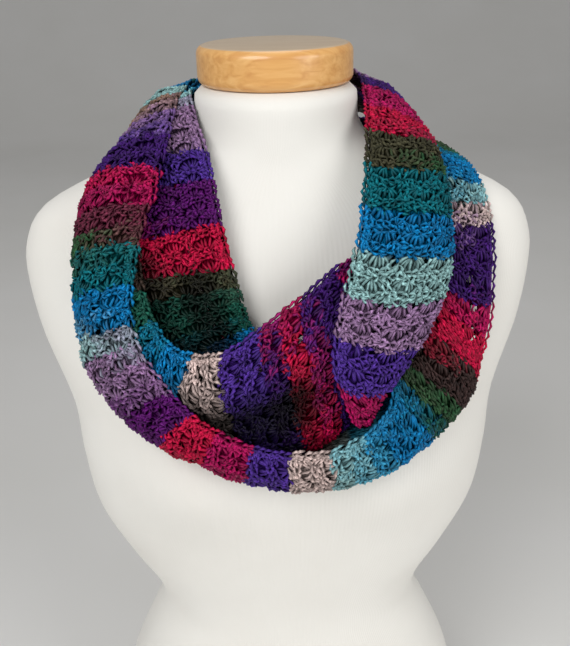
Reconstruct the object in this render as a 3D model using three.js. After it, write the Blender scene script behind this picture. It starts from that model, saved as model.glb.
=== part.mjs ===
// A crocheted infinity scarf, worn twice round the neck of a limbless dress form with a wooden neck cap.
// Millimetres, +Z up, -Y is the front. The origin is the middle of the form's flat base.
import * as THREE from "three";

// Driving dimensions
const CLOTH = 3; // thickness of the crocheted cloth
const SEAM = 0.7; // gap between neighbouring pieces of cloth, measured along the crown
const REST = 0.3; // gap under the cap
const NECK_TOP = 613; // height of the neck's flat top
const CAP = { radius: 55, height: 27, round: 6 };
const CAP_CORNER_STEPS = 5; // facets round each of the cap's edges
const FORM_RINGS = 44; // rings up the form
const ROUND_SIDES = 48; // points round the form and the cap
const CLOTH_STEP = 13; // length of one facet along the scarf
const CLOTH_STRIPS = 12; // facets across the scarf
const CLOTH_CHECKS = 24; // places between two rows at which the length along the cloth is measured
const NEARBY = 0.02; // part of a row's spacing over which the cloth's slope is taken

// The form: a row for each height, with half its width, its reach to the front and to the back.
const FORM = [
  { height: 0, width: 156, front: 92, back: 106 },
  { height: 50, width: 153, front: 92, back: 106 },
  { height: 97, width: 146, front: 86, back: 99 },
  { height: 150, width: 124, front: 78, back: 83 },
  { height: 178, width: 111, front: 75, back: 78 },
  { height: 205, width: 116, front: 77, back: 77 },
  { height: 240, width: 136, front: 84, back: 80 },
  { height: 286, width: 157, front: 94, back: 87 },
  { height: 335, width: 164, front: 102, back: 93 },
  { height: 380, width: 167, front: 102, back: 97 },
  { height: 440, width: 184, front: 93, back: 99 },
  { height: 482, width: 190, front: 82, back: 97 },
  { height: 505, width: 188, front: 75, back: 93 },
  { height: 527, width: 176, front: 67, back: 86 },
  { height: 543, width: 148, front: 61, back: 78 },
  { height: 555, width: 117, front: 57, back: 71 },
  { height: 565, width: 89, front: 55, back: 65 },
  { height: 575, width: 68, front: 55, back: 60 },
  { height: 588, width: 59, front: 56, back: 58 },
  { height: 603, width: 58, front: 58, back: 58 },
  { height: 610, width: 56.5, front: 56.5, back: 56.5 },
  { height: NECK_TOP, width: 52, front: 52, back: 52 },
];
const SQUARENESS = 2.3; // power of the form's outline, where 2 is an ellipse
const NECK = { foot: 575, squareness: 2 };
const BUST = { across: 74, height: 338, swell: 14, spread: 44 };

// The scarf is drawn by the rows below. Each row is one section across the cloth, from its inner or
// upper edge, over its crown, round its fold, to the edge that lies underneath.
const row = (at, edge, crown, fold, under) => ({ at, edge, crown, fold, under });
const RAILS = ["edge", "crown", "fold", "under"];

// The outer wrap runs from the nape over the left shoulder, along the front and back by the right.
const OUTER_WRAP = [
  row("nape", [0, 92, 600], [0, 106, 570], [0, 118, 520], [0, 110, 464]),
  row("left back", [-58, 60, 608], [-82, 76, 588], [-99, 92, 548], [-78, 101, 508]),
  row("left shoulder back", [-66, 26, 606], [-90, 32, 598], [-108, 38, 571], [-84, 50, 562]),
  row("left shoulder", [-70, -4, 601], [-92, -6, 594], [-111, -8, 571], [-80, -10, 575]),
  row("left collar", [-80, -67, 565], [-116, -65, 566], [-132, -45, 547], [-67, -58, 555]),
  row("left chest", [-95, -92, 522], [-132, -88, 516], [-142, -68, 503], [-66, -69, 530]),
  row("left breast", [-100, -112, 474], [-130, -106, 462], [-137, -86, 449], [-72, -82, 490]),
  row("left corner", [-79, -130, 440], [-107, -126, 423], [-111, -98, 410], [-60, -87, 468]),
  row("front left", [-48, -145, 416], [-58, -146, 394], [-58, -118, 382], [-34, -94, 456]),
  row("front", [-8, -152, 403], [-8, -152, 381], [-8, -124, 365], [-6, -95, 454]),
  row("front right", [34, -150, 404], [40, -148, 380], [42, -124, 365], [30, -95, 454]),
  row("right corner", [64, -138, 426], [86, -136, 399], [94, -114, 384], [64, -95, 440]),
  row("right breast", [62, -96, 476], [104, -112, 447], [127, -106, 419], [120, -93, 403]),
  row("right ribs", [60, -86, 502], [100, -94, 478], [124, -96, 459], [140, -86, 447]),
  row("right chest", [60, -76, 530], [94, -76, 522], [124, -72, 512], [148, -58, 507]),
  row("right collar", [66, -57, 560], [94, -48, 558], [120, -41, 554], [143, -28, 545]),
  row("right shoulder", [72, 0, 580], [92, -2, 574], [113, -2, 566], [131, 0, 558]),
  row("right shoulder back", [70, 36, 580], [90, 42, 570], [110, 48, 560], [127, 52, 549]),
  row("right back", [70, 74, 572], [86, 86, 552], [98, 96, 526], [102, 102, 492]),
];

// The inner wrap comes up out of the valley at the front, over the right shoulder, round the nape,
// down the left of the neck and across the front, where its end is tucked in behind its beginning.
const INNER_WRAP = [
  row("valley end", [40, -142, 414], [46, -140, 410], [52, -135, 408], [43, -133, 410]),
  row("valley", [34, -149, 436], [45, -149, 428], [53, -138, 420], [42, -136, 424]),
  row("turn", [27, -148, 456], [46, -152, 444], [62, -138, 434], [44, -138, 438]),
  row("corner", [28, -138, 476], [56, -143, 464], [80, -126, 454], [46, -130, 464]),
  row("lower right", [34, -127, 496], [68, -132, 488], [99, -110, 480], [44, -120, 490]),
  row("right breast", [42, -114, 518], [78, -121, 512], [109, -97, 504], [46, -110, 512]),
  row("right chest", [50, -92, 541], [84, -104, 537], [111, -84, 528], [52, -88, 533]),
  row("right collar", [57, -61, 577], [86, -73, 576], [108, -56, 566], [58, -56, 567]),
  row("right neck", [62, 4, 609], [84, 0, 602], [97, -4, 587], [64, -2, 599]),
  row("right back", [60, 34, 614], [82, 40, 598], [90, 36, 586], [60, 28, 603]),
  row("right nape", [46, 58, 617], [64, 68, 586], [58, 62, 579], [42, 50, 606]),
  row("nape", [0, 78, 612], [0, 94, 540], [0, 84, 542], [0, 63, 606]),
  row("left nape", [-50, 52, 611], [-72, 66, 566], [-64, 60, 564], [-45, 47, 605]),
  row("left back", [-80, 29, 592], [-88, 31, 584], [-82, 30, 578], [-58, 22, 606]),
  row("left neck", [-84, -2, 591], [-95, -4, 585], [-90, -6, 580], [-60, -2, 605]),
  row("left collar", [-92, -65, 558], [-109, -61, 556], [-104, -56, 551], [-47, -61, 571]),
  row("left chest", [-95, -86, 512], [-124, -81, 508], [-120, -74, 506], [-41, -80, 541]),
  row("left breast", [-87, -110, 482], [-116, -101, 468], [-112, -92, 466], [-32, -92, 498]),
  row("left corner", [-72, -124, 466], [-90, -118, 437], [-82, -106, 428], [-24, -99, 471]),
  row("front left", [-46, -128, 461], [-52, -140, 434], [-46, -122, 396], [-16, -104, 452]),
  row("front", [4, -116, 487], [2, -144, 448], [2, -127, 386], [2, -106, 440]),
  row("front right", [38, -103, 509], [36, -131, 462], [34, -122, 398], [30, -106, 446]),
  row("tucked end", [60, -92, 518], [60, -106, 480], [58, -110, 436], [54, -102, 456]),
];

// Materials
const finish = (color, roughness) => new THREE.MeshStandardMaterial({ color, roughness, metalness: 0 });
const JERSEY = finish(0xebe8e1, 0.9);
const WOOD = finish(0xdea55f, 0.45);
const YARN = {
  purple: finish(0x4b2d8c, 0.85),
  magenta: finish(0xaf0a55, 0.85),
  teal: finish(0x006e78, 0.85),
  blue: finish(0x007db9, 0.85),
};

// The side faces of a body whose rows of points each close into a ring; its two ends are left open.
function sideFaces(rows) {
  const around = rows[0].length;
  const points = rows.flat();
  const faces = [];
  for (let i = 0; i + 1 < rows.length; i++)
    for (let j = 0; j < around; j++) {
      const a = i * around + j;
      const b = i * around + ((j + 1) % around);
      faces.push(a, b, b + around, a, b + around, a + around);
    }
  return { points, faces, around };
}

function geometryOf(points, faces) {
  const geometry = new THREE.BufferGeometry();
  const places = points.flatMap((point) => point.toArray());
  geometry.setAttribute("position", new THREE.Float32BufferAttribute(places, 3));
  geometry.setIndex(faces);
  geometry.computeVertexNormals();
  return geometry;
}

// The value of a column between the rows of the form, on a smooth curve.
function formValue(column, height) {
  const last = FORM.length - 1;
  let i = 0;
  while (i < last - 1 && FORM[i + 1].height < height) i++;
  const slopeAt = (k) => {
    const before = FORM[Math.max(k - 1, 0)];
    const after = FORM[Math.min(k + 1, last)];
    return (after[column] - before[column]) / (after.height - before.height);
  };
  const span = FORM[i + 1].height - FORM[i].height;
  const t = (height - FORM[i].height) / span;
  const rise = t * t * (3 - 2 * t);
  const bend = span * (t * (1 - t) * (1 - t) * slopeAt(i) - t * t * (1 - t) * slopeAt(i + 1));
  return FORM[i][column] * (1 - rise) + FORM[i + 1][column] * rise + bend;
}

function formRing(height) {
  const width = formValue("width", height);
  const ring = [];
  for (let k = 0; k < ROUND_SIDES; k++) {
    const angle = (2 * Math.PI * k) / ROUND_SIDES;
    const c = Math.cos(angle);
    const s = Math.sin(angle);
    const depth = formValue(s > 0 ? "back" : "front", height);
    const square = 2 / (height > NECK.foot ? NECK.squareness : SQUARENESS);
    const x = width * Math.sign(c) * Math.abs(c) ** square;
    let y = depth * Math.sign(s) * Math.abs(s) ** square;
    if (s < 0) {
      const away = ((Math.abs(x) - BUST.across) ** 2 + (height - BUST.height) ** 2) / BUST.spread ** 2;
      y -= BUST.swell * Math.exp(-away) * Math.min(1, Math.abs(s) * 2);
    }
    ring.push(new THREE.Vector3(x, y, height));
  }
  return ring;
}

function dressForm() {
  const heights = FORM.map((row) => row.height);
  while (heights.length < FORM_RINGS) {
    const gaps = heights.slice(1).map((h, i) => h - heights[i]);
    const widest = gaps.indexOf(Math.max(...gaps));
    heights.splice(widest + 1, 0, (heights[widest] + heights[widest + 1]) / 2);
  }
  const { points, faces, around } = sideFaces(heights.map(formRing));
  const top = (heights.length - 1) * around;
  points.push(new THREE.Vector3(0, 0, 0), new THREE.Vector3(0, 0, NECK_TOP));
  for (let j = 0; j < around; j++) {
    const next = (j + 1) % around;
    faces.push(points.length - 2, next, j, points.length - 1, top + j, top + next);
  }
  return geometryOf(points, faces);
}

function neckCap() {
  const profile = [new THREE.Vector2(0, 0)];
  const corner = (middleHeight, from) => {
    for (let k = 0; k <= CAP_CORNER_STEPS; k++) {
      const angle = from + (k * Math.PI) / 2 / CAP_CORNER_STEPS;
      profile.push(new THREE.Vector2(
        CAP.radius - CAP.round + CAP.round * Math.cos(angle),
        middleHeight + CAP.round * Math.sin(angle),
      ));
    }
  };
  corner(CAP.round, -Math.PI / 2);
  corner(CAP.height - CAP.round, 0);
  profile.push(new THREE.Vector2(0, CAP.height));
  return new THREE.LatheGeometry(profile, ROUND_SIDES).rotateX(Math.PI / 2).translate(0, 0, NECK_TOP + REST);
}

// One wrap of the scarf as a surface: four rails through the rows, and a smooth section across them.
class Wrap {
  constructor(rows, closed) {
    this.names = rows.map((entry) => entry.at);
    this.rails = RAILS.map((name) => {
      const points = rows.map((entry) => new THREE.Vector3(...entry[name]));
      return new THREE.CatmullRomCurve3(points, closed, "centripetal");
    });
    this.spans = closed ? rows.length : rows.length - 1;
    this.closed = closed;
  }

  // Points across the cloth at a place along it, counted in rows of the table.
  section(place) {
    const turn = this.closed ? place / this.spans : THREE.MathUtils.clamp(place / this.spans, 0, 1);
    const across = this.rails.map((rail) => rail.getPoint(turn));
    return new THREE.CatmullRomCurve3(across, false, "centripetal").getSpacedPoints(CLOTH_STRIPS);
  }

  // Places from one row to another, evenly spaced along the crown.
  places(from, to) {
    const fine = CLOTH_CHECKS * (to - from);
    const at = (k) => from + ((to - from) * k) / fine;
    const run = [0];
    for (let k = 1; k <= fine; k++) {
      const a = this.rails[1].getPoint(at(k - 1) / this.spans);
      run.push(run[k - 1] + a.distanceTo(this.rails[1].getPoint(at(k) / this.spans)));
    }
    const length = run[Math.floor(fine)];
    const steps = Math.round(length / CLOTH_STEP);
    const places = [];
    for (let i = 0, k = 0; i <= steps; i++) {
      const wanted = SEAM / 2 + ((length - SEAM) * i) / steps;
      while (k < fine - 1 && run[k + 1] < wanted) k++;
      places.push(at(k + (wanted - run[k]) / (run[k + 1] - run[k])));
    }
    return places;
  }

  // The ring of points round the wall at one place: its outer side, then back along its inner side.
  ring(place) {
    const middle = this.section(place);
    const before = this.section(place - NEARBY);
    const after = this.section(place + NEARBY);
    const normals = middle.map((_, j) => {
      const along = after[j].clone().sub(before[j]);
      const across = middle[Math.min(j + 1, CLOTH_STRIPS)].clone().sub(middle[Math.max(j - 1, 0)]);
      return across.cross(along).setLength(CLOTH / 2);
    });
    const outside = middle.map((point, j) => point.clone().add(normals[j]));
    const inside = middle.map((point, j) => point.clone().sub(normals[j]));
    return [...outside, ...inside.reverse()];
  }

  // The cloth from one named row to another, as a closed wall of even thickness.
  stretch(fromName, toName) {
    const from = this.names.indexOf(fromName);
    const to = this.names.indexOf(toName);
    const places = this.places(from, to > from ? to : to + this.spans);
    const { points, faces, around } = sideFaces(places.map((place) => this.ring(place)));
    const end = points.length - around;
    for (let j = 0; j < CLOTH_STRIPS; j++) {
      const a = j;
      const b = around - 1 - j;
      faces.push(a, b, a + 1, a + 1, b, b - 1);
      faces.push(end + a, end + a + 1, end + b, end + a + 1, end + b - 1, end + b);
    }
    return geometryOf(points, faces);
  }
}

const model = new THREE.Group();
function add(name, geometry, material) {
  const mesh = new THREE.Mesh(geometry, material);
  mesh.name = name;
  model.add(mesh);
}

const outer = new Wrap(OUTER_WRAP, true);
const inner = new Wrap(INNER_WRAP, false);
add("dress_form", dressForm(), JERSEY);
add("neck_cap", neckCap(), WOOD);
add("scarf_lower_left", outer.stretch("left shoulder back", "left corner"), YARN.purple);
add("scarf_lower_front", outer.stretch("left corner", "right corner"), YARN.magenta);
add("scarf_lower_right", outer.stretch("right corner", "right shoulder"), YARN.teal);
add("scarf_lower_back", outer.stretch("right shoulder", "left shoulder back"), YARN.blue);
add("scarf_upper_right", inner.stretch("valley end", "right back"), YARN.purple);
add("scarf_upper_back", inner.stretch("right back", "left back"), YARN.magenta);
add("scarf_upper_left", inner.stretch("left back", "left corner"), YARN.teal);
add("scarf_upper_front", inner.stretch("left corner", "tucked end"), YARN.blue);

export default model;
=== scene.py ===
# A crocheted infinity scarf, worn twice round the neck of a limbless dress form with a wooden neck cap.
# Shapes are worked out in millimetres and become metres as each mesh is made.
import math

import bpy
import numpy as np
from mathutils import Matrix, Vector


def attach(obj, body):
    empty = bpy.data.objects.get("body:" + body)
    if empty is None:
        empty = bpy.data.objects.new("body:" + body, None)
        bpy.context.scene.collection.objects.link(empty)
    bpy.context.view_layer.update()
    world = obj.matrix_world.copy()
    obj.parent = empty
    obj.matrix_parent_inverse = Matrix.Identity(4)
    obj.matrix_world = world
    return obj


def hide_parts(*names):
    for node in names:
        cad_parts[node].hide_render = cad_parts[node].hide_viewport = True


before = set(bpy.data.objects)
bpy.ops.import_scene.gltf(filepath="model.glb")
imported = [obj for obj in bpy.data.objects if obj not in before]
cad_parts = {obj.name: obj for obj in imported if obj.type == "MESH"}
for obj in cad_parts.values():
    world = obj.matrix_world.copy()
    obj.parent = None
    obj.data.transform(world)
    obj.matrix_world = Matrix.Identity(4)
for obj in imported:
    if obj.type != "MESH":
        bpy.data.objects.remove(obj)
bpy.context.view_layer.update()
rng = np.random.default_rng(7)
MM = 0.001

# Sizes of the crochet, in mm
ROW = 14.5  # from one row of fans to the next, along the scarf
COLUMN = 22.6  # from one fan to the next, across the scarf
MARGIN = 14.7  # from the scarf's edge to the middle of the first fan
FANS = 7  # fans across the whole width
FLAT_WIDTH = MARGIN * 2 + COLUMN * (FANS - 1)

# Sizes of the ground under the stitches, in mm
GROUND_DEPTH = -1.5
GROUND_WALL = 0.8
GROUND_CELL = 4.0
GROUND_INSET = 1.7

# The least and most that a strand's dye is dimmed or lightened
STRAND_LIGHT = (0.58, 1.1)

# Sizes of the form and the cap, in mm
NECK_TOP = 613.0
NECK_FOOT = 575.0
CAP_REST = 0.3
CAP_RADIUS = 55.0
CAP_HEIGHT = 27.0
CAP_ROUND = 6.0

# The form: height, half the width, reach to the front and reach to the back.
FORM = np.array([
    (0, 156, 92, 106), (50, 153, 92, 106), (97, 146, 86, 99), (150, 124, 78, 83),
    (178, 111, 75, 78), (205, 116, 77, 77), (240, 136, 84, 80), (286, 157, 94, 87),
    (335, 164, 102, 93), (380, 167, 102, 97), (440, 184, 93, 99), (482, 190, 82, 97),
    (505, 188, 75, 93), (527, 176, 67, 86), (543, 148, 61, 78), (555, 117, 57, 71),
    (565, 89, 55, 65), (575, 68, 55, 60), (588, 59, 56, 58), (603, 58, 58, 58),
    (610, 56.5, 56.5, 56.5), (613, 52, 52, 52),
])
SQUARENESS = 2.3
BUST_ACROSS, BUST_HEIGHT, BUST_SWELL, BUST_SPREAD = 74, 338, 14, 44

# The scarf is drawn by rows. Each row is one section across the cloth: its inner or upper edge, its
# crown, its fold and the edge that lies underneath.
OUTER_WRAP = [
    [(0, 92, 600), (0, 106, 570), (0, 118, 520), (0, 110, 464)],
    [(-58, 60, 608), (-82, 76, 588), (-99, 92, 548), (-78, 101, 508)],
    [(-66, 26, 606), (-90, 32, 598), (-108, 38, 571), (-84, 50, 562)],
    [(-70, -4, 601), (-92, -6, 594), (-111, -8, 571), (-80, -10, 575)],
    [(-80, -67, 565), (-116, -65, 566), (-132, -45, 547), (-67, -58, 555)],
    [(-95, -92, 522), (-132, -88, 516), (-142, -68, 503), (-66, -69, 530)],
    [(-100, -112, 474), (-130, -106, 462), (-137, -86, 449), (-72, -82, 490)],
    [(-79, -130, 440), (-107, -126, 423), (-111, -98, 410), (-60, -87, 468)],
    [(-48, -145, 416), (-58, -146, 394), (-58, -118, 382), (-34, -94, 456)],
    [(-8, -152, 403), (-8, -152, 381), (-8, -124, 365), (-6, -95, 454)],
    [(34, -150, 404), (40, -148, 380), (42, -124, 365), (30, -95, 454)],
    [(64, -138, 426), (86, -136, 399), (94, -114, 384), (64, -95, 440)],
    [(62, -96, 476), (104, -112, 447), (127, -106, 419), (120, -93, 403)],
    [(60, -86, 502), (100, -94, 478), (124, -96, 459), (140, -86, 447)],
    [(60, -76, 530), (94, -76, 522), (124, -72, 512), (148, -58, 507)],
    [(66, -57, 560), (94, -48, 558), (120, -41, 554), (143, -28, 545)],
    [(72, 0, 580), (92, -2, 574), (113, -2, 566), (131, 0, 558)],
    [(70, 36, 580), (90, 42, 570), (110, 48, 560), (127, 52, 549)],
    [(70, 74, 572), (86, 86, 552), (98, 96, 526), (102, 102, 492)],
]
INNER_WRAP = [
    [(40, -142, 414), (46, -140, 410), (52, -135, 408), (43, -133, 410)],
    [(34, -149, 436), (45, -149, 428), (53, -138, 420), (42, -136, 424)],
    [(27, -148, 456), (46, -152, 444), (62, -138, 434), (44, -138, 438)],
    [(28, -138, 476), (56, -143, 464), (80, -126, 454), (46, -130, 464)],
    [(34, -127, 496), (68, -132, 488), (99, -110, 480), (44, -120, 490)],
    [(42, -114, 518), (78, -121, 512), (109, -97, 504), (46, -110, 512)],
    [(50, -92, 541), (84, -104, 537), (111, -84, 528), (52, -88, 533)],
    [(57, -61, 577), (86, -73, 576), (108, -56, 566), (58, -56, 567)],
    [(62, 4, 609), (84, 0, 602), (97, -4, 587), (64, -2, 599)],
    [(60, 34, 614), (82, 40, 598), (90, 36, 586), (60, 28, 603)],
    [(46, 58, 617), (64, 68, 586), (58, 62, 579), (42, 50, 606)],
    [(0, 78, 612), (0, 94, 540), (0, 84, 542), (0, 63, 606)],
    [(-50, 52, 611), (-72, 66, 566), (-64, 60, 564), (-45, 47, 605)],
    [(-80, 29, 592), (-88, 31, 584), (-82, 30, 578), (-58, 22, 606)],
    [(-84, -2, 591), (-95, -4, 585), (-90, -6, 580), (-60, -2, 605)],
    [(-92, -65, 558), (-109, -61, 556), (-104, -56, 551), (-47, -61, 571)],
    [(-95, -86, 512), (-124, -81, 508), (-120, -74, 506), (-41, -80, 541)],
    [(-87, -110, 482), (-116, -101, 468), (-112, -92, 466), (-32, -92, 498)],
    [(-72, -124, 466), (-90, -118, 437), (-82, -106, 428), (-24, -99, 471)],
    [(-46, -128, 463), (-52, -140, 434), (-46, -122, 396), (-16, -104, 452)],
    [(4, -116, 491), (2, -144, 448), (2, -127, 386), (2, -106, 440)],
    [(38, -103, 513), (36, -131, 462), (34, -122, 398), (30, -106, 446)],
    [(60, -92, 518), (60, -106, 480), (58, -110, 436), (54, -102, 456)],
]

# The yarn's dyes, as they look in plain daylight.
DYES = {
    "deep purple": (66, 24, 112), "violet": (82, 48, 150), "magenta": (180, 12, 92),
    "red pink": (205, 12, 68), "wine": (112, 42, 66), "olive": (72, 70, 50),
    "brown": (62, 44, 42), "green": (50, 96, 60), "bottle green": (22, 88, 72),
    "teal": (0, 112, 124), "blue": (0, 128, 190), "light blue": (72, 172, 204),
    "pale aqua": (156, 200, 200), "mauve": (162, 126, 168), "cream": (218, 194, 188),
    "fawn": (150, 120, 105), "purple": (96, 16, 110),
}

# The order of the dyes along each wrap: mm along the crown, and the dye there.
OUTER_DYES = [
    (18, "blue"), (42, "teal"), (70, "bottle green"), (94, "teal"), (112, "blue"),
    (124, "pale aqua"), (142, "pale aqua"), (152, "fawn"), (166, "fawn"), (176, "mauve"),
    (190, "mauve"), (202, "violet"), (210, "deep purple"), (236, "deep purple"), (244, "red pink"),
    (258, "magenta"), (268, "wine"), (284, "wine"), (290, "green"), (304, "green"), (314, "teal"),
    (324, "teal"), (332, "blue"), (345, "blue"), (353, "pale aqua"), (366, "pale aqua"),
    (375, "mauve"), (398, "mauve"), (408, "purple"), (436, "purple"), (446, "red pink"),
    (470, "red pink"), (480, "magenta"), (501, "magenta"), (510, "violet"), (529, "violet"),
    (538, "cream"), (563, "cream"), (571, "pale aqua"), (582, "light blue"), (597, "light blue"),
    (607, "blue"), (630, "blue"), (639, "bottle green"), (657, "green"), (664, "brown"),
    (685, "brown"), (692, "red pink"), (720, "red pink"), (730, "magenta"), (742, "deep purple"),
    (772, "deep purple"), (780, "mauve"), (787, "cream"), (794, "cream"), (799, "pale aqua"),
    (806, "light blue"), (814, "blue"), (834, "blue"), (850, "teal"), (862, "green"),
    (884, "brown"), (906, "red pink"), (926, "magenta"), (950, "deep purple"), (976, "mauve"),
    (996, "cream"), (1024, "pale aqua"), (1044, "light blue"),
]
INNER_DYES = [
    (0, "magenta"), (44, "magenta"), (50, "violet"), (70, "violet"), (75, "mauve"), (98, "mauve"),
    (103, "pale aqua"), (126, "pale aqua"), (130, "light blue"), (134, "blue"), (160, "blue"),
    (168, "teal"), (182, "teal"), (188, "green"), (198, "green"), (202, "olive"), (212, "olive"),
    (216, "wine"), (226, "wine"), (232, "red pink"), (250, "red pink"), (256, "magenta"),
    (268, "magenta"), (276, "deep purple"), (300, "deep purple"), (322, "mauve"), (345, "cream"),
    (378, "pale aqua"), (405, "blue"), (432, "teal"), (458, "green"), (480, "brown"),
    (505, "red pink"), (530, "deep purple"), (552, "blue"), (578, "light blue"),
    (590, "pale aqua"), (603, "pale aqua"), (610, "mauve"), (648, "mauve"), (657, "violet"),
    (680, "violet"), (690, "purple"), (722, "purple"), (730, "red pink"), (750, "red pink"),
    (757, "brown"), (768, "olive"), (780, "bottle green"), (806, "bottle green"), (812, "teal"),
    (825, "blue"), (850, "blue"), (860, "cream"), (886, "cream"), (893, "violet"),
    (912, "violet"), (920, "deep purple"), (930, "deep purple"), (937, "red pink"),
    (952, "red pink"), (962, "deep purple"), (990, "deep purple"),
]

# Creases of each wrap: from and to (row, part of the width), height in mm (troughs are negative) and
# half width in mm.
OUTER_CREASES = [
    ((3.2, 0.20), (4.6, 0.34), -2.4, 9), ((4.2, 0.10), (5.7, 0.16), 1.8, 8),
    ((5.1, 0.34), (6.6, 0.22), -2.8, 10), ((6.2, 0.40), (7.7, 0.34), 2.2, 9),
    ((7.0, 0.12), (8.8, 0.22), -2.2, 8), ((8.3, 0.30), (10.6, 0.26), 2.4, 9),
    ((10.4, 0.10), (11.8, 0.34), -2.6, 10), ((11.6, 0.62), (13.1, 0.48), 2.0, 10),
    ((12.9, 0.80), (14.4, 0.66), -1.8, 8), ((14.2, 0.30), (16.0, 0.46), 2.2, 11),
    ((16.2, 0.60), (17.6, 0.40), -2.6, 9), ((17.3, 0.20), (18.7, 0.46), 2.8, 10),
    ((18.2, 0.64), (19.9, 0.50), -3.0, 11), ((0.3, 0.30), (1.8, 0.20), 2.4, 9),
    ((0.7, 0.70), (2.0, 0.56), -2.6, 10),
]
INNER_CREASES = [
    ((3.0, 0.22), (4.8, 0.16), -1.8, 8), ((4.4, 0.40), (6.3, 0.34), 1.6, 9),
    ((6.0, 0.16), (7.6, 0.30), -2.0, 9), ((8.6, 0.30), (10.4, 0.20), 1.8, 8),
    ((10.6, 0.34), (12.2, 0.26), -2.4, 10), ((12.8, 0.74), (14.6, 0.60), -2.2, 8),
    ((14.4, 0.84), (16.6, 0.70), 1.8, 9), ((15.8, 0.52), (17.8, 0.62), -3.0, 11),
    ((17.9, 0.30), (20.6, 0.44), -5.0, 9), ((18.2, 0.16), (20.0, 0.26), 2.6, 8),
    ((20.2, 0.20), (21.6, 0.14), -2.4, 9),
]

# Deep folds that hardly any light reaches: from and to (row, part of the width), share of the light
# lost and half width in mm.
INNER_SHADES = [
    ((18.4, 0.36), (19.85, 0.42), 0.93, 24), ((16.9, 0.78), (18.2, 0.80), 0.85, 15),
    ((16.4, 0.54), (17.9, 0.56), 0.6, 14), ((18.0, 0.62), (19.9, 0.66), 0.9, 22),
    ((20.0, 0.34), (20.25, 0.48), 0.65, 12),
]


def linear(rgb):
    """The dye as shader numbers."""
    c = np.array(rgb, float) / 255
    return np.where(c > 0.04045, ((c + 0.055) / 1.055) ** 2.4, c / 12.92)


def unit(v):
    return v / np.maximum(np.linalg.norm(v, axis=-1, keepdims=True), 1e-9)


def hermite(p0, p1, p2, p3, w):
    """The point at part w of the way from p1 to p2, on a smooth curve through all four."""
    def root(a, b):
        return np.maximum(np.sum((a - b) ** 2, axis=-1, keepdims=True) ** 0.25, 1e-6)
    d0, d1, d2 = root(p0, p1), root(p1, p2), root(p2, p3)
    t1 = ((p1 - p0) / d0 - (p2 - p0) / (d0 + d1) + (p2 - p1) / d1) * d1
    t2 = ((p2 - p1) / d1 - (p3 - p1) / (d1 + d2) + (p3 - p2) / d2) * d1
    return p1 + t1 * w + (3 * (p2 - p1) - 2 * t1 - t2) * w**2 + (2 * (p1 - p2) + t1 + t2) * w**3


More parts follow.
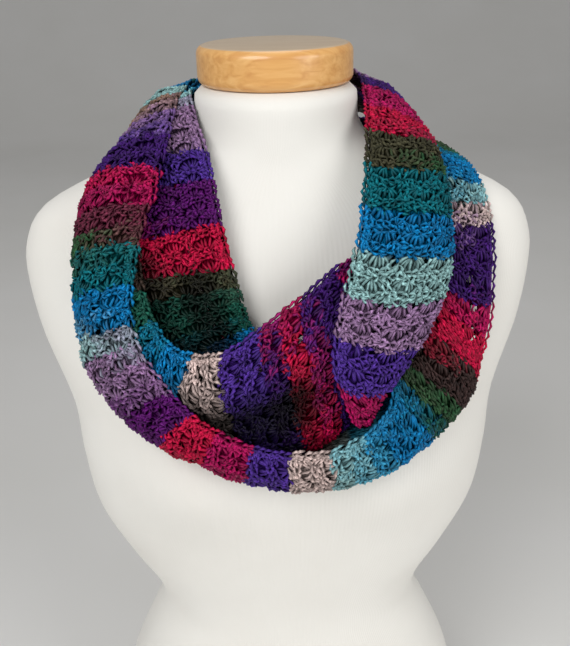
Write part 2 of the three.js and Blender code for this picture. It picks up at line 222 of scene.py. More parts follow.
class Wrap:
    """One wrap of the scarf as a smooth sheet. A place on it is a run along the crown and a distance
    across, in mm."""

    LOOKUPS = 30  # sections between two rows of the table
    ACROSS = 60
    FINE = 181

    def __init__(self, rows, closed, creases, shades, anchors, slants, turned, phase):
        rails = np.array(rows, float)
        count = len(rows)
        spans = count if closed else count - 1
        self.closed = closed
        self.place = np.linspace(0, spans, spans * self.LOOKUPS + 1)
        i = np.minimum(self.place.astype(int), spans - 1)
        w = (self.place - i)[:, None, None]
        if closed:
            four = hermite(*(rails[(i + k) % count] for k in (-1, 0, 1, 2)), w)
        else:
            ends = np.concatenate([2 * rails[:1] - rails[1:2], rails, 2 * rails[-1:] - rails[-2:-1]])
            four = hermite(*(ends[i + k] for k in (0, 1, 2, 3)), w)
        ends = np.concatenate([2 * four[:, :1] - four[:, 1:2], four, 2 * four[:, 3:] - four[:, 2:3]], 1)
        part = np.linspace(0, 3, self.FINE)
        j = np.minimum(part.astype(int), 2)
        fine = hermite(*(ends[:, j + k] for k in (0, 1, 2, 3)), (part - j)[:, None])
        far = np.cumsum(np.linalg.norm(np.diff(fine, axis=1), axis=2), axis=1)
        far = np.concatenate([np.zeros((len(far), 1)), far], 1)
        self.width = far[:, -1]
        self.fold = far[:, 2 * self.FINE // 3]
        self.points = np.empty((len(fine), self.ACROSS + 1, 3))
        for m, row in enumerate(fine):
            even = np.linspace(0, self.width[m], self.ACROSS + 1)
            for k in range(3):
                self.points[m, :, k] = np.interp(even, far[m], row[:, k])
        steps = np.linalg.norm(np.diff(four[:, 1], axis=0), axis=1)
        self.run = np.concatenate([[0], np.cumsum(steps)])
        self.total = self.run[-1]
        self.side = unit(np.gradient(self.points, axis=1))
        ahead = np.gradient(self.points, axis=0)
        if closed:
            ahead[0] = ahead[-1] = self.points[1] - self.points[-2]
        self.normal = unit(np.cross(self.side, ahead))
        self.anchor = np.interp(self.place, *zip(*anchors))
        self.slant = np.interp(self.place, *zip(*slants))
        self.turned = np.interp(self.place, *zip(*turned))
        self.phase = phase
        self.creases, self.shades = [
            [(*(self.spot(place, part) for place, part in (start, end)), amount, half)
             for start, end, amount, half in marks] for marks in (creases, shades)]

    def spot(self, place, part):
        """The run and the distance across of a place in the table."""
        return self.run_at(place), part * np.interp(place % self.place[-1], self.place, self.width)

    def run_at(self, place):
        turns, rest = divmod(place, self.place[-1]) if self.closed else (0, place)
        return turns * self.total + np.interp(rest, self.place, self.run)

    def lookup(self, run):
        if self.closed:
            run = np.mod(run, self.total)
        return np.interp(run, self.run, np.arange(len(self.run)))

    def value(self, table, run):
        """A number that changes along the wrap, at a run."""
        return np.interp(self.lookup(run), np.arange(len(table)), table)

    def face(self, run, across):
        """The side of the cloth that shows: 1 before the fold, and -1 past it where it is seen from inside."""
        past = np.clip((across - self.value(self.fold, run) - 1.0) / 6.0, 0, 1)
        return 1 - 2 * past * self.value(self.turned, run)

    def apart(self, run, across, start, end):
        """The squared distance of places on the cloth from a line between two of them."""
        dr = run - start[0]
        if self.closed:
            dr = np.mod(dr + self.total / 2, self.total) - self.total / 2
        da = across - start[1]
        lr, la = end[0] - start[0], end[1] - start[1]
        t = np.clip((dr * lr + da * la) / (lr * lr + la * la), 0, 1)
        return (dr - t * lr) ** 2 + (da - t * la) ** 2

    def relief(self, run, across):
        height = np.zeros(np.broadcast(run, across).shape)
        for start, end, tall, half in self.creases:
            height = height + tall * np.exp(-self.apart(run, across, start, end) / half**2)
        return height

    def light(self, run, across):
        """The share of the light that reaches the cloth in its deep folds."""
        share = np.ones(np.broadcast(run, across).shape)
        for start, end, lost, half in self.shades:
            share = share * (1 - lost * np.exp(-(self.apart(run, across, start, end) / half**2) ** 2))
        return share

    def at(self, run, across, height):
        """Points at runs, distances across and heights over the cloth, with the cloth's normals there."""
        m = self.lookup(run)
        width = np.interp(m, np.arange(len(self.width)), self.width)
        inside = np.clip(across, 0, width)
        n = inside / width * self.ACROSS
        i = np.minimum(m.astype(int), len(self.run) - 2)
        j = np.minimum(n.astype(int), self.ACROSS - 1)
        u, v = (m - i)[..., None], (n - j)[..., None]

        def mix(table):
            low = table[i, j] * (1 - v) + table[i, j + 1] * v
            high = table[i + 1, j] * (1 - v) + table[i + 1, j + 1] * v
            return low * (1 - u) + high * u

        normal = unit(mix(self.normal))
        tall = (height + self.relief(run, inside))[..., None]
        return mix(self.points) + normal * tall + unit(mix(self.side)) * (across - inside)[..., None], normal

    def run_of(self, pattern, across):
        """The run at which a line of the pattern crosses a distance across, on rows that lie at a slant."""
        run = pattern + 0 * across
        for _ in range(8):
            part = np.clip(1 - across / self.value(self.width, run), 0, 1)
            run = pattern - self.value(self.slant, run) * part
        return run

    def column(self, k, run):
        """The distance across of the middle of fan k, counted from the edge that shows."""
        first = MARGIN + k * COLUMN
        last = self.value(self.width, run) - MARGIN - (FANS - 1 - k) * COLUMN
        a = self.value(self.anchor, run)
        return a * first + (1 - a) * last


OUTER = Wrap(OUTER_WRAP, True, OUTER_CREASES, [],
             [(0, 0.5), (1, 1), (8.6, 1), (14, 0), (18, 0), (19, 0.5)], [(0, 0), (19, 0)],
             [(0, 0), (19, 0)], 0.45)
INNER = Wrap(INNER_WRAP, False, INNER_CREASES, INNER_SHADES,
             [(0, 1), (10, 1), (12.5, 0), (17.6, 0), (19.4, 1), (22, 1)],
             [(0, 14), (2.5, 14), (4, 8), (6, 4), (8, 0), (10, 0), (15, 30), (22, 30)],
             [(0, 0), (8.8, 0), (9.2, 1), (19.0, 1), (19.6, 0), (22, 0)], 0.0)


def dye_colours(stops, total):
    """The chart of dyes as runs and shader colours, with the ends repeated past a closed wrap."""
    runs = np.array([run for run, _ in stops], float)
    colours = np.array([linear(DYES[name]) for _, name in stops])
    return (np.concatenate([runs - total, runs, runs + total]), np.tile(colours, (3, 1)))


CHARTS = {OUTER: dye_colours(OUTER_DYES, OUTER.total), INNER: dye_colours(INNER_DYES, INNER.total)}


def dye(wrap, pattern, across):
    """The yarn's colour in the row that holds a pattern run. Each row is worked back over the last one."""
    row = np.floor(pattern / ROW_OF[wrap] + wrap.phase)
    way = np.where(row % 2 == 0, 1.0, -1.0)
    spot = (row + 0.5 - wrap.phase + way * (across / FLAT_WIDTH - 0.5) * 0.9) * ROW_OF[wrap]
    runs, colours = CHARTS[wrap]
    return np.stack([np.interp(spot, runs, colours[:, k]) for k in range(3)], -1)


ROW_OF = {wrap: wrap.total / round(wrap.total / ROW) for wrap in (OUTER, INNER)}

# Strands of one fan: across and along in mm from its foot, height over the cloth, radius and lightness.
SPREAD = math.radians(64)
POST = ((-0.9, 0.45, 0.3), (0.4, 0.92, 0.6), (0.9, 1.12, 0.85), (0.6, 1.0, 0.72), (-0.4, 0.5, 0.35))
LOOP = (
    (-1.0, -0.34, -0.8, 0.45, 0.35), (-0.5, -0.54, 0.6, 1.16, 1.2), (-0.04, -0.22, 0.0, 0.7, 0.6),
    (-0.04, 0.22, 0.0, 0.7, 0.6), (-0.5, 0.54, 0.6, 1.16, 1.2), (-1.0, 0.34, -0.8, 0.45, 0.35),
)


def arch(phi, half, low, high):
    """A point on an arch over the fan's foot, half as wide as given, that reaches from low to high along it."""
    return np.array([half * math.sin(phi) / math.sin(SPREAD), (low + (high - low) * math.cos(phi)) * ROW])


def post_strands():
    """The fan's posts, which start round its foot and bow out to the arch."""
    t = np.array([0.0, 0.22, 0.5, 0.8, 1.0])[:, None]
    strands = []
    for phi in np.linspace(-SPREAD, SPREAD, 7):
        start = np.array([1.8 * math.sin(phi), 1.2 * math.cos(phi)])
        end = arch(1.05 * phi, 8.2, 0.16, 0.64)
        bow = np.array([0.76 * end[0], 0.26 * end[1]])
        path = (1 - t) ** 2 * start + 2 * t * (1 - t) * bow + t**2 * end
        strands.append(np.column_stack([path, POST]))
    return np.array(strands)


def loop(tip, lean, long, wide, height):
    """A chain stitch: a loop of yarn that runs back from its tip, with its two ends sunk into the cloth."""
    shape = np.array(LOOP)
    ahead, aside = shape[:, 0] * long, shape[:, 1] * wide
    lean = math.radians(lean)
    x = tip[0] + ahead * math.cos(lean) - aside * math.sin(lean)
    y = tip[1] + ahead * math.sin(lean) + aside * math.cos(lean)
    return np.column_stack([x, y, shape[:, 2] + height, shape[:, 3:]])


def loop_strands():
    """The chain stitches along the arch in two lines, those piled up beside it, and those at the next
    row's foot."""
    strands = []
    for phi in np.linspace(-1, 1, 7) * SPREAD:
        strands.append(loop(arch(phi, 10.4, 0.22, 0.78), -52 * phi, 5.6, 4.2, 1.3))
    for phi in np.linspace(-0.85, 0.85, 5) * SPREAD:
        strands.append(loop(arch(phi, 9.2, 0.42, 0.97), 180 - 45 * phi, 6.0, 4.3, 0.7))
    for along, lean, height in ((0.58, 70, 0.7), (0.74, 160, 1.1), (0.92, 30, 0.9)):
        strands.append(loop((0.5 * COLUMN + 1.6, along * ROW), lean, 4.8, 3.7, height))
    for across, lean in ((-0.34, 15), (-0.12, -160), (0.14, 12), (0.36, 190)):
        strands.append(loop((across * COLUMN + 2.4, 1.0 * ROW), lean, 5.4, 3.6, -0.1))
    return np.array(strands)


def edge_strands():
    """The turning chain at the cloth's edge, and the stitches that tie it to the fans: distance in from the edge,
    and the rest as in a fan."""
    chain = [loop((2.3, along * ROW), 86, 6.4, 4.2, 0.6) for along in (0.3, 0.63, 0.96)]
    chain += [loop((5.4, along * ROW), lean, 5.6, 3.9, 0.3) for along, lean in ((0.46, 105), (0.8, 72), (1.13, 98))]
    ties = [loop((3.0, 0.98 * ROW), 176, 5.0, 3.6, 0.4), loop((3.4, 0.76 * ROW), 160, 4.6, 3.4, 0.1),
            loop((4.4, 0.14 * ROW), 200, 4.4, 3.4, 0.1)]
    return np.array(chain + ties)


POSTS, LOOPS, EDGE = post_strands(), loop_strands(), edge_strands()


def tubes(wrap, run, across, lift, radius, light, colour, sides):
    """Tubes along strands on the side of the cloth that shows, darker underneath. Arrays are strands by points.
    The result is points, quads, triangles, UVs and colours."""
    side = np.where(wrap.face(run.mean(1), across.mean(1)) > 0, 1.0, -1.0)[:, None]
    centre, normal = wrap.at(run, across, lift * side)
    ahead = unit(np.gradient(centre, axis=1))
    aside = unit(np.cross(ahead, normal * side[..., None]))
    up = np.cross(aside, ahead)
    count, length = run.shape
    turn = np.arange(sides) * 2 * math.pi / sides - math.pi / 2
    ring = (np.cos(turn)[:, None] * aside[:, :, None] + np.sin(turn)[:, None] * up[:, :, None])
    points = centre[:, :, None] + ring * radius[:, :, None, None]
    shade = light[..., None] * (0.7 + 0.3 * np.sin(turn))
    colours = (colour[:, None, None] * shade[..., None]).reshape(-1, 3)
    rings = length - 1
    i = np.arange(count)[:, None, None] * length * sides
    a = np.arange(rings)[None, :, None]
    b = a + 1
    k = np.arange(sides)[None, None, :]
    l = (k + 1) % sides
    quads = np.stack([i + a * sides + k, i + a * sides + l, i + b * sides + l, i + b * sides + k], -1)
    far = np.cumsum(np.linalg.norm(np.diff(centre, axis=1), axis=2), axis=1)
    far = np.concatenate([np.zeros((count, 1)), far], 1) + rng.uniform(0, 400, (count, 1))
    u0, u1 = far[:, :-1, None], far[:, 1:, None]
    v0 = np.broadcast_to(k / sides, (count, rings, sides))
    v1 = np.broadcast_to((k + 1) / sides, (count, rings, sides))
    u0, u1 = np.broadcast_to(u0, v0.shape), np.broadcast_to(u1, v0.shape)
    quad_uv = np.stack([np.stack([u0, v0], -1), np.stack([u0, v1], -1), np.stack([u1, v1], -1),
                        np.stack([u1, v0], -1)], -2)
    points = points.reshape(-1, 3)
    tips = np.stack([centre[:, 0] - ahead[:, 0] * radius[:, :1] * 0.6,
                     centre[:, -1] + ahead[:, -1] * radius[:, -1:] * 0.6], 1).reshape(-1, 3)
    first = np.arange(count)[:, None] * length * sides + k[0]
    next_one = np.arange(count)[:, None] * length * sides + l[0]
    last = (length - 1) * sides
    tip = len(points) + 2 * np.arange(count)[:, None] + 0 * first
    triangles = np.concatenate([
        np.stack([tip, next_one, first], -1).reshape(-1, 3),
        np.stack([tip + 1, first + last, next_one + last], -1).reshape(-1, 3)])
    triangle_uv = np.full((len(triangles), 3, 2), 0.5)
    points = np.concatenate([points, tips])
    colours = np.concatenate([colours, np.repeat(colour * 0.35, 2, axis=0)])
    return points, quads.reshape(-1, 4), triangles, quad_uv.reshape(-1, 4, 2), triangle_uv, colours


def joined(parts):
    """Several sets of tubes as one."""
    base = np.cumsum([0] + [len(part[0]) for part in parts])
    moved = [(p, q + b, t + b, qu, tu, c) for (p, q, t, qu, tu, c), b in zip(parts, base)]
    return [np.concatenate(column) for column in zip(*moved)]


def mesh_object(name, points, quads, triangles, quad_uv, triangle_uv, colours, material, slot):
    mesh = bpy.data.meshes.new(name)
    mesh.from_pydata((points * MM).tolist(), [], quads.tolist() + triangles.tolist())
    uv = mesh.uv_layers.new(name="UVMap")
    uv.data.foreach_set("uv", np.concatenate([quad_uv.reshape(-1), triangle_uv.reshape(-1)]))
    if colours is not None:
        layer = mesh.color_attributes.new("dye", "FLOAT_COLOR", "POINT")
        layer.data.foreach_set("color", np.column_stack([colours, np.ones(len(colours))]).reshape(-1))
    mesh.polygons.foreach_set("use_smooth", np.ones(len(mesh.polygons), bool))
    mesh.materials.append(material)
    mesh.update()
    obj = bpy.data.objects.new(name, mesh)
    bpy.context.scene.collection.objects.link(obj)
    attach(obj, "root")
    return obj


# Node helpers for the materials


class Shader:
    """A material with a principled shader, and short ways to add and link nodes."""

    def __init__(self, name, **inputs):
        self.material = bpy.data.materials.new(name)
        self.material.use_nodes = True
        self.tree = self.material.node_tree
        self.main = self.tree.nodes["Principled BSDF"]
        for key, value in inputs.items():
            self.main.inputs[key.replace("_", " ")].default_value = value

    def node(self, kind, links=None, **settings):
        made = self.tree.nodes.new("ShaderNode" + kind)
        for key, value in settings.items():
            setattr(made, key, value)
        for key, value in (links or {}).items():
            if isinstance(value, bpy.types.NodeSocket):
                self.tree.links.new(value, made.inputs[key])
            else:
                made.inputs[key].default_value = value
        return made

    def math(self, operation, a, b=0.0, c=0.0):
        return self.node("Math", {0: a, 1: b, 2: c}, operation=operation).outputs[0]

    def ramp(self, factor, stops):
        made = self.node("ValToRGB", {"Fac": factor})
        ramp = made.color_ramp
        while len(ramp.elements) < len(stops):
            ramp.elements.new(0.5)
        for element, (place, colour) in zip(ramp.elements, stops):
            element.position = place
            element.color = (*colour, 1)
        return made.outputs["Color"]

    def tint(self, colour, factor, blend="MULTIPLY", amount=1.0):
        made = self.node("Mix", {0: amount}, data_type="RGBA", blend_type=blend)
        self.tree.links.new(colour, made.inputs[6])
        self.tree.links.new(factor, made.inputs[7])
        return made.outputs[2]

    def use(self, **links):
        for key, value in links.items():
            self.tree.links.new(value, self.main.inputs[key.replace("_", " ")])


def yarn_material():
    s = Shader("wool_yarn", Roughness=0.5)
    s.main.inputs["Specular IOR Level"].default_value = 0.16
    colour = s.node("Attribute", attribute_name="dye").outputs["Color"]
    uv = s.node("UVMap", uv_map="UVMap").outputs["UV"]
    drawn_out = {"Vector": uv, "Scale": (0.22, 5.0, 1.0), "Rotation": (0.0, 0.0, 0.12)}
    fibres = s.node("Mapping", drawn_out).outputs[0]
    streaks = s.node("TexNoise", {"Vector": fibres, "Scale": 1.0, "Detail": 3.0, "Roughness": 0.6}).outputs["Fac"]
    where = s.node("TexCoord").outputs["Object"]
    flecks = s.node("TexNoise", {"Vector": where, "Scale": 420.0, "Detail": 3.0}).outputs["Fac"]
    light = s.ramp(streaks, [(0.34, (0.55,) * 3), (0.66, (1.35,) * 3)])
    cloud = s.ramp(flecks, [(0.3, (0.78,) * 3), (0.7, (1.2,) * 3)])
    s.use(Base_Color=s.tint(s.tint(colour, light), cloud))
    bump = s.node("Bump", {"Height": s.math("ADD", streaks, s.math("MULTIPLY", flecks, 0.5)), "Strength": 0.6,
                           "Distance": 0.0005})
    s.use(Normal=bump.outputs["Normal"])
    return s.material


def ground_material():
    """The cloth between the strands: matt, with soft crossing streaks like the strands that lie deeper."""
    s = Shader("wool_ground", Roughness=0.95)
    s.main.inputs["Specular IOR Level"].default_value = 0.0
    colour = s.node("Attribute", attribute_name="dye").outputs["Color"]
    uv = s.node("UVMap", uv_map="UVMap").outputs["UV"]
    lengths = s.node("Mapping", {"Vector": uv, "Scale": (ROW, COLUMN, 1.0)}).outputs[0]
    layers = []
    for turn in (0.7, -0.8):
        turned = {"Vector": lengths, "Scale": (0.24, 0.85, 1.0), "Rotation": (0.0, 0.0, turn)}
        place = s.node("Mapping", turned).outputs[0]
        layers.append(s.node("TexNoise", {"Vector": place, "Scale": 1.0, "Detail": 2.0}).outputs["Fac"])
    crossed = s.math("MAXIMUM", *layers)
    light = s.ramp(crossed, [(0.46, (0.05,) * 3), (0.7, (0.6,) * 3)])
    parts = s.node("SeparateXYZ", {0: uv})
    along = s.math("MULTIPLY", s.math("SUBTRACT", s.math("FRACT", parts.outputs[0]), 0.76), ROW / 3.1)
    aside = s.math("MULTIPLY", s.math("SUBTRACT", s.math("FRACT", s.math("ADD", parts.outputs[1], 8.0)), 0.5),
                   COLUMN / 3.0)
    away = s.math("ADD", s.math("POWER", s.math("ABSOLUTE", along), 2.0),
                  s.math("POWER", s.math("ABSOLUTE", aside), 2.0))
    hole = s.ramp(away, [(0.7, (0.02,) * 3), (1.0, (1.0,) * 3)])
    s.use(Base_Color=s.tint(s.tint(colour, light), hole))
    bump = s.node("Bump", {"Height": crossed, "Strength": 0.8, "Distance": 0.0015})
    s.use(Normal=bump.outputs["Normal"])
    return s.material


def jersey_material():
    s = Shader("white_jersey", Roughness=0.93, Sheen_Weight=0.15, Sheen_Roughness=0.5)
    s.main.inputs["Specular IOR Level"].default_value = 0.25
    uv = s.node("UVMap", uv_map="UVMap").outputs["UV"]
    parts = s.node("SeparateXYZ", {0: uv})
    ribs = s.math("SINE", s.math("MULTIPLY", parts.outputs[0], 2 * math.pi / 2.1))
    where = s.node("TexCoord").outputs["Object"]
    knit = s.node("TexNoise", {"Vector": where, "Scale": 1400.0, "Detail": 2.0}).outputs["Fac"]
    cloud = s.node("TexNoise", {"Vector": where, "Scale": 9.0, "Detail": 3.0}).outputs["Fac"]
    white = s.ramp(cloud, [(0.25, tuple(linear((232, 229, 222)))), (0.75, tuple(linear((240, 238, 232))))])
    s.use(Base_Color=white)
    height = s.math("ADD", ribs, s.math("MULTIPLY", knit, 0.8))
    bump = s.node("Bump", {"Height": height, "Strength": 0.14, "Distance": 0.0002})
    s.use(Normal=bump.outputs["Normal"])
    return s.material


def wood_material():
    s = Shader("honey_wood", Roughness=0.38, Coat_Weight=0.5, Coat_Roughness=0.16)
    where = s.node("TexCoord").outputs["Object"]
    squashed = s.node("Mapping", {"Vector": where, "Scale": (4.0, 60.0, 60.0), "Rotation": (0.0, 0.1, 0.3)})
    grain = s.node("TexNoise", {"Vector": squashed.outputs[0], "Scale": 4.0, "Detail": 6.0, "Distortion": 0.6})
    fibre = s.node("TexNoise", {"Vector": squashed.outputs[0], "Scale": 26.0, "Detail": 3.0})
    up = s.node("SeparateXYZ", {0: s.node("NewGeometry").outputs["Normal"]}).outputs[2]
    side = s.ramp(grain.outputs["Fac"], [(0.3, tuple(linear((212, 152, 84)))), (0.5, tuple(linear((224, 168, 98)))),
                                         (0.72, tuple(linear((234, 184, 116))))])
    top = s.ramp(grain.outputs["Fac"], [(0.3, tuple(linear((188, 170, 144)))), (0.7, tuple(linear((198, 182, 158))))])
    mixed = s.node("Mix", {0: s.math("MULTIPLY", s.math("GREATER_THAN", up, 0.9), 0.8)}, data_type="RGBA")
    s.tree.links.new(side, mixed.inputs[6])
    s.tree.links.new(top, mixed.inputs[7])
    s.use(Base_Color=mixed.outputs[2])
    bump = s.node("Bump", {"Height": fibre.outputs["Fac"], "Strength": 0.15, "Distance": 0.0002})
    s.use(Normal=bump.outputs["Normal"])
    return s.material


YARN = yarn_material()
GROUND = ground_material()


# The crochet: a thin ground under each stretch of the scarf, and the stitches on it


def fan_places(wrap, apex, column, across, along):
    """Runs and distances across of points of a fan, from their places in the fan."""
    run = wrap.run_of(apex - along, wrap.column(column, apex - along))
    across = wrap.column(column, run) + across
    return wrap.run_of(apex - along, across), across


def hidden_there(wrap, hidden, run, across):
    """Whether strands lie in the plain layer that nothing shows."""
    fold, width = wrap.value(wrap.fold, run), wrap.value(wrap.width, run)
    covered = np.zeros(run.shape[:2], bool)
    middle = np.mod(run.mean(2), wrap.total)
    for low, high, past, short in hidden:
        inside = ((across - fold).min(2) > past) & ((width - across).min(2) > short)
        covered |= inside & (middle > wrap.run_at(low)) & (middle < wrap.run_at(high))
    return covered


def fans(wrap, first, last, hidden, loose):
    """The fans and chain stitches of some rows, as tubes. Loose work has its strands further out of line."""
    row = ROW_OF[wrap]
    spots = [(r, k) for r in range(first, last) for k in range(-1, 8)]
    apex = np.array([(r + 1 - wrap.phase) * row for r, _ in spots])[:, None, None]
    column = np.array([k for _, k in spots])[:, None, None]
    mirror = np.array([1 if r % 2 else -1 for r, _ in spots])[:, None, None]
    sway = rng.normal(0, loose, (len(spots), 1, 1, 3)) * (0.7, 0.5, 0.15)
    turn = rng.normal(0, 0.09 * loose, (len(spots), 1, 1))
    parts = []
    for template in (POSTS, LOOPS):
        s, p, _ = template.shape
        shake = rng.normal(0, loose, (len(spots), s, 1, 3)) * (0.5, 0.5, 0.25)
        wobble = rng.normal(0, loose, (len(spots), s, p, 3)) * (0.26, 0.26, 0.12)
        moved = template[None, ..., :3] + sway + shake + wobble
        spin = rng.normal(0, (0.1 if template is POSTS else 0.4) * loose, (len(spots), s, 1))
        middle = moved.mean(2, keepdims=True)
        dx, dy = moved[..., 0] - middle[..., 0], moved[..., 1] - middle[..., 1]
        x = middle[..., 0] + dx * np.cos(spin) - dy * np.sin(spin)
        y = middle[..., 1] + dx * np.sin(spin) + dy * np.cos(spin)
        lift = moved[..., 2]
        run, across = fan_places(wrap, apex, column, mirror * (x - turn * y), y + turn * x)
        width = wrap.value(wrap.width, run)
        keep = (across.min(2) > 1.6) & ((width - across).min(2) > 1.6) & ~hidden_there(wrap, hidden, run, across)
        if not wrap.closed:
            keep &= (run.min(2) > 1) & (run.max(2) < wrap.total - 1)
        which = np.nonzero(keep)
        run, across, lift = run[which], across[which], lift[which]
        radius = np.broadcast_to(template[None, ..., 3], (len(spots), s, p))[which]
        radius = radius * rng.uniform(0.85, 1.12, (len(run), 1))
        centre = np.broadcast_to(apex[:, :, 0] - 0.5 * row, keep.shape)[which]
        colour = dye(wrap, centre, across.mean(1) + rng.normal(0, 14, len(run)))
        colour = colour * rng.uniform(*STRAND_LIGHT, (len(run), 1))
        colour = colour * wrap.light(run.mean(1), across.mean(1))[:, None]
        light = np.broadcast_to(template[None, ..., 4], (len(spots), s, p))[which]
        parts.append(tubes(wrap, run, across, lift, radius, light, colour, 4))
    return parts


def edges(wrap, first, last, loose):
    """The turning chains along both edges."""
    row = ROW_OF[wrap]
    rows = np.arange(first, last)
    s, p, _ = EDGE.shape
    parts = []
    for far_side in (False, True):
        moved = EDGE[None, ..., :3] + rng.normal(0, 1, (len(rows), s, p, 3)) * (0.2, 0.25, 0.14)
        moved = moved + rng.normal(0, loose, (len(rows), s, 1, 3)) * (0.4, 0.5, 0.25)
        along = ((rows[:, None, None] + 1 - wrap.phase) * row - moved[..., 1]).reshape(-1, p)
        across = moved[..., 0].reshape(-1, p)
        if far_side:
            across = wrap.value(wrap.width, along) - across
        run = wrap.run_of(along, across)
        keep = np.ones(len(run), bool)
        if not wrap.closed:
            keep = (run.min(1) > 1) & (run.max(1) < wrap.total - 1)
        centre = np.repeat((rows + 0.5 - wrap.phase) * row, s)
        colour = dye(wrap, centre, across.mean(1)) * rng.uniform(*STRAND_LIGHT, (len(run), 1))
        colour = colour * wrap.light(run.mean(1), across.mean(1))[:, None]
        radius = np.tile(EDGE[..., 3], (len(rows), 1)) * rng.uniform(0.9, 1.15, (len(run), 1))
        light = np.tile(EDGE[..., 4], (len(rows), 1))
        lift = moved[..., 2].reshape(-1, p)
        parts.append(tubes(wrap, *(part[keep] for part in (run, across, lift, radius, light, colour)), 4))
    return parts


def stitches(name, wrap, start, end, hidden, loose):
    """All the stitches of the rows between two runs, as one piece."""
    first, last = (math.ceil(run / ROW_OF[wrap] - 0.5 + wrap.phase) for run in (start, end))
    work = fans(wrap, first, last, hidden, loose) + edges(wrap, first, last, loose)
    return mesh_object(name, *joined(work), YARN, "crochet")


def ground(name, wrap, start, end):
    """The thin cloth that the stitches stand on, closed all round, with the gaps beside the edges left open.
    Its UVs count rows and fans."""
    steps = max(2, round((end - start) / GROUND_CELL))
    run = np.linspace(start, end, steps + 1)[:, None]
    width = wrap.value(wrap.width, run)
    strips = round(float(width.max()) / GROUND_CELL)
    part = np.linspace(0, 1, strips + 1)[None, :]
    inset = np.minimum(GROUND_INSET, 0.2 * width)
    across = inset + part * (width - 2 * inset)
    run = run + 0 * across
    top, normal = wrap.at(run, across, GROUND_DEPTH * wrap.face(run, across) + GROUND_WALL / 2)
    bottom = top - normal * GROUND_WALL
    mid_run = (run[:-1, :-1] + run[1:, 1:]) / 2
    mid_across = (across[:-1, :-1] + across[1:, 1:]) / 2
    share = np.clip(1 - mid_across / wrap.value(wrap.width, mid_run), 0, 1)
    pattern = mid_run + wrap.value(wrap.slant, mid_run) * share
    row = ROW_OF[wrap]
    up_row = 1 - np.mod(pattern / row + wrap.phase, 1)
    gap = np.zeros(mid_run.shape, bool)
    for k in (0, FANS - 2):
        off = mid_across - wrap.column(k, mid_run) - COLUMN / 2
        gap |= (off / 2.6) ** 2 + ((up_row - 0.26) * row / 2.6) ** 2 < 1
    cells = ~gap
    cells[:1] = cells[-1:] = True
    cells[:, :2] = cells[:, -2:] = True
    columns = strips + 1
    index = np.arange(run.size).reshape(run.shape)
    a, b, c, d = index[:-1, :-1], index[:-1, 1:], index[1:, 1:], index[1:, :-1]
    upper = np.stack([a, b, c, d], -1)[cells]
    lower = upper[:, ::-1] + run.size
    edges = np.concatenate([upper[:, [k, (k + 1) % 4]] for k in range(4)])
    keys = {}
    for m, n in edges.tolist():
        keys[(m, n)] = keys.get((m, n), 0) + 1
    rim = np.array([(m, n) for m, n in keys if (n, m) not in keys])
    walls = np.stack([rim[:, 1], rim[:, 0], rim[:, 0] + run.size, rim[:, 1] + run.size], -1)
    quads = np.concatenate([upper, lower, walls])
    points = np.concatenate([top.reshape(-1, 3), bottom.reshape(-1, 3)])
    used, quads = np.unique(quads, return_inverse=True)
    quads = quads.reshape(-1, 4)
    spot = np.clip(1 - across / wrap.value(wrap.width, run), 0, 1)
    pattern = run + wrap.value(wrap.slant, run) * spot
    colours = (dye(wrap, pattern, across) * wrap.light(run, across)[..., None]).reshape(-1, 3)
    colours = np.concatenate([colours, colours])
    fan = (across - wrap.column(0, run)) / COLUMN
    flat = np.column_stack([(pattern / row + wrap.phase).reshape(-1), fan.reshape(-1)])
    flat = np.concatenate([flat, flat])[used]
    return mesh_object(name, points[used], quads, np.zeros((0, 3), int), flat[quads], np.zeros((0, 3, 2)),
                       colours[used], GROUND, "crochet")


# Stretches of the scarf: the node each one replaces, its wrap, the rows of the table it runs between,
# the cut of what shows in metres, what it rests on, and where its hidden under layer stays plain.
STRETCHES = [
    ("scarf_lower_left", OUTER, 2, 7, (0.130, 0.275), ["dress_form", "scarf_upper_left"]),
    ("scarf_lower_front", OUTER, 7, 11, (0.145, 0.215), ["scarf_lower_left", "scarf_lower_right"]),
    ("scarf_lower_right", OUTER, 11, 16, (0.100, 0.237), ["dress_form"]),
    ("scarf_lower_back", OUTER, 16, 21, (0.100, 0.322), ["dress_form"]),
    ("scarf_upper_right", INNER, 0, 9, (0.105, 0.318), ["scarf_lower_front", "scarf_lower_right"]),
    ("scarf_upper_back", INNER, 9, 13, (0.105, 0.247), ["dress_form", "scarf_lower_back"]),
    ("scarf_upper_left", INNER, 13, 18, (0.105, 0.248), ["dress_form"]),
    ("scarf_upper_front", INNER, 18, 22, (0.150, 0.179), ["scarf_upper_left", "scarf_lower_front"]),
]
LOOSE = {"scarf_lower_left": 1.7, "scarf_lower_front": 1.3, "scarf_upper_front": 1.3}
OUTER_HIDDEN = [(3, 10.8, 16, -99)]
INNER_HIDDEN = [(0, 9, 12, -99), (9, 12.4, -4, 28), (19.4, 22, 14, -99)]

for node, wrap, low, high, flat, under in STRETCHES:
    start, end = wrap.run_at(low), wrap.run_at(high)
    sheet = ground(node + "_ground", wrap, start, end)
    hidden = OUTER_HIDDEN if wrap is OUTER else INNER_HIDDEN
    work = stitches(node + "_stitches", wrap, start, end, hidden, LOOSE.get(node, 1.0))
    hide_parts(node)


# The dress form: a smooth body under a fine jersey cover


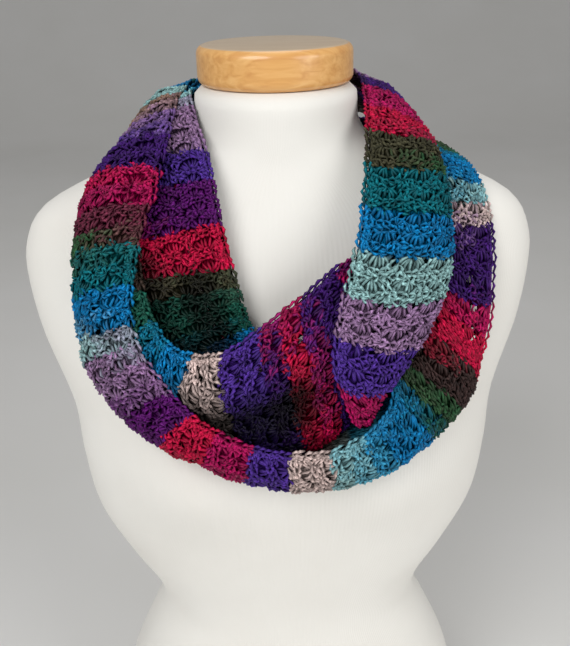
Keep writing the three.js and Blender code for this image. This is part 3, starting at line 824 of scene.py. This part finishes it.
def form_values(column, height):
    """A column of the form's table at heights, on a smooth curve between its rows."""
    heights = FORM[:, 0]
    last = len(FORM) - 1
    i = np.clip(np.searchsorted(heights, height, side="left") - 1, 0, last - 1)

    def slope(k):
        before, after = FORM[np.maximum(k - 1, 0)], FORM[np.minimum(k + 1, last)]
        return (after[..., column] - before[..., column]) / (after[..., 0] - before[..., 0])

    span = heights[i + 1] - heights[i]
    t = (height - heights[i]) / span
    rise = t * t * (3 - 2 * t)
    bend = span * (t * (1 - t) ** 2 * slope(i) - t * t * (1 - t) * slope(i + 1))
    return FORM[i, column] * (1 - rise) + FORM[i + 1, column] * rise + bend


def dress_form():
    rings, sides = 110, 120
    height = np.linspace(0, NECK_TOP, rings)[:, None]
    angle = np.linspace(0, 2 * math.pi, sides, endpoint=False)[None, :]
    c, s = np.cos(angle), np.sin(angle)
    blend = np.clip((height - (NECK_FOOT - 12)) / 12, 0, 1)
    square = 2 / (SQUARENESS * (1 - blend) + 2 * blend)
    x = form_values(1, height) * np.sign(c) * np.abs(c) ** square
    reach = np.where(s > 0, form_values(3, height), form_values(2, height))
    y = reach * np.sign(s) * np.abs(s) ** square
    away = ((np.abs(x) - BUST_ACROSS) ** 2 + (height - BUST_HEIGHT) ** 2) / BUST_SPREAD**2
    y = y - np.where(s < 0, BUST_SWELL * np.exp(-away) * np.minimum(1, np.abs(s) * 2), 0)
    points = np.stack([x, y, height + 0 * x], -1)
    points = np.concatenate([points.reshape(-1, 3), [(0, 0, 0), (0, 0, NECK_TOP)]])
    a = np.arange(rings - 1)[:, None] * sides
    k = np.arange(sides)[None, :]
    l = (k + 1) % sides
    quads = np.stack([a + k, a + l, a + l + sides, a + k + sides], -1).reshape(-1, 4)
    top = (rings - 1) * sides
    foot, head = rings * sides, rings * sides + 1
    triangles = np.concatenate([
        np.stack([np.full(sides, foot), l[0], k[0]], -1),
        np.stack([np.full(sides, head), top + k[0], top + l[0]], -1)])
    round_mm = 760.0
    u = np.broadcast_to(k / sides * round_mm, (rings - 1, sides))
    step = round_mm / sides
    low, high = np.broadcast_to(height[:-1], u.shape), np.broadcast_to(height[1:], u.shape)
    quad_uv = np.stack([np.stack([u, low], -1), np.stack([u + step, low], -1), np.stack([u + step, high], -1),
                        np.stack([u, high], -1)], -2).reshape(-1, 4, 2)
    body = mesh_object("dress_form_cover", points, quads, triangles, quad_uv, np.zeros((len(triangles), 3, 2)),
                       None, jersey_material(), "jersey")
    body.data.polygons.foreach_set("use_smooth", np.arange(len(body.data.polygons)) < len(quads))
    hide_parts("dress_form")


def neck_cap():
    sides, corner = 128, 12
    profile = [(0.0, 0.0)]
    for middle, begin in ((CAP_ROUND, -math.pi / 2), (CAP_HEIGHT - CAP_ROUND, 0.0)):
        for n in range(corner + 1):
            angle = begin + n * math.pi / 2 / corner
            out = CAP_RADIUS - CAP_ROUND + CAP_ROUND * math.cos(angle)
            profile.append((out, middle + CAP_ROUND * math.sin(angle)))
    profile.append((0.0, CAP_HEIGHT))
    inner = np.array(profile[1:-1])
    turn = np.linspace(0, 2 * math.pi, sides, endpoint=False)
    ring = np.stack([np.cos(turn), np.sin(turn)], -1)
    level = np.broadcast_to(inner[:, None, 1:], (len(inner), sides, 1))
    points = np.concatenate([inner[:, None, :1] * ring[None], level], -1)
    points = np.concatenate([points.reshape(-1, 3), [(0, 0, 0), (0, 0, CAP_HEIGHT)]])
    points[:, 2] += NECK_TOP + CAP_REST
    a = np.arange(len(inner) - 1)[:, None] * sides
    k = np.arange(sides)[None, :]
    l = (k + 1) % sides
    quads = np.stack([a + k, a + l, a + l + sides, a + k + sides], -1).reshape(-1, 4)
    top = (len(inner) - 1) * sides
    foot, head = len(inner) * sides, len(inner) * sides + 1
    triangles = np.concatenate([
        np.stack([np.full(sides, foot), l[0], k[0]], -1),
        np.stack([np.full(sides, head), top + k[0], top + l[0]], -1)])
    cap = mesh_object("neck_cap_turned", points, quads, triangles, np.zeros((len(quads), 4, 2)),
                      np.zeros((len(triangles), 3, 2)), None, wood_material(), "cap_wood")
    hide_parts("neck_cap")


dress_form()
neck_cap()


# Floor, camera and light


def floor():
    s = Shader("pale_floor", Roughness=0.9)
    where = s.node("TexCoord").outputs["Object"]
    cloud = s.node("TexNoise", {"Vector": where, "Scale": 3.0, "Detail": 2.0}).outputs["Fac"]
    s.use(Base_Color=s.ramp(cloud, [(0.3, tuple(linear((220, 219, 216)))), (0.7, tuple(linear((224, 223, 221))))]))
    half, rise_at, radius, steps = 6.0, 2.6, 1.6, 24
    profile = [(-half, 0.0), (rise_at, 0.0)]
    for n in range(1, steps + 1):
        angle = n * math.pi / 2 / steps
        profile.append((rise_at + radius * math.sin(angle), radius - radius * math.cos(angle)))
    profile.append((rise_at + radius, 5.0))
    points = [(x, y, z) for y, z in profile for x in (-half, half)]
    faces = [(2 * n, 2 * n + 1, 2 * n + 3, 2 * n + 2) for n in range(len(profile) - 1)]
    mesh = bpy.data.meshes.new("floor")
    mesh.from_pydata(points, [], faces)
    mesh.polygons.foreach_set("use_smooth", np.ones(len(faces), bool))
    mesh.materials.append(s.material)
    obj = bpy.data.objects.new("floor", mesh)
    bpy.context.scene.collection.objects.link(obj)


def aimed(obj, place, target):
    obj.location = place
    obj.rotation_euler = (Vector(target) - Vector(place)).to_track_quat("-Z", "Y").to_euler()
    bpy.context.scene.collection.objects.link(obj)


def camera():
    """The photograph's view: its place in mm, its turn to the right, its tilt down and its roll in degrees."""
    place, turn, tilt, roll, lens = (-22, -640, 703), 2.2, 23.3, -1.4, 49.04
    turn, tilt, roll = (math.radians(v) for v in (turn, tilt, roll))
    ahead = Vector((math.sin(turn) * math.cos(tilt), math.cos(turn) * math.cos(tilt), -math.sin(tilt)))
    level = Vector((math.cos(turn), -math.sin(turn), 0))
    up = level.cross(ahead)
    right = level * math.cos(roll) + up * math.sin(roll)
    up = up * math.cos(roll) - level * math.sin(roll)
    data = bpy.data.cameras.new("camera")
    data.lens = lens
    data.clip_start = 0.02
    obj = bpy.data.objects.new("camera", data)
    obj.matrix_world = Matrix.Translation(Vector(place) * MM) @ Matrix((right, up, -ahead)).transposed().to_4x4()
    bpy.context.scene.collection.objects.link(obj)
    bpy.context.scene.camera = obj


def lamp(name, place, target, size, power, colour=(1, 1, 1)):
    data = bpy.data.lights.new(name, "AREA")
    data.shape = "DISK"
    data.size = size
    data.energy = power
    data.color = colour
    aimed(bpy.data.objects.new(name, data), place, target)


floor()
camera()
lamp("key", (-0.9, -1.5, 1.6), (0, 0, 0.42), 1.3, 25)
lamp("fill", (1.4, -1.4, 1.1), (0, 0, 0.42), 1.4, 17)
lamp("top", (0.1, 0.5, 2.4), (0, 0, 0.5), 1.2, 8)
world = bpy.data.worlds.new("world")
world.use_nodes = True
world.node_tree.nodes["Background"].inputs["Color"].default_value = (1, 1, 1, 1)
world.node_tree.nodes["Background"].inputs["Strength"].default_value = 0.3
bpy.context.scene.world = world
bpy.context.scene.view_settings.view_transform = "Standard"
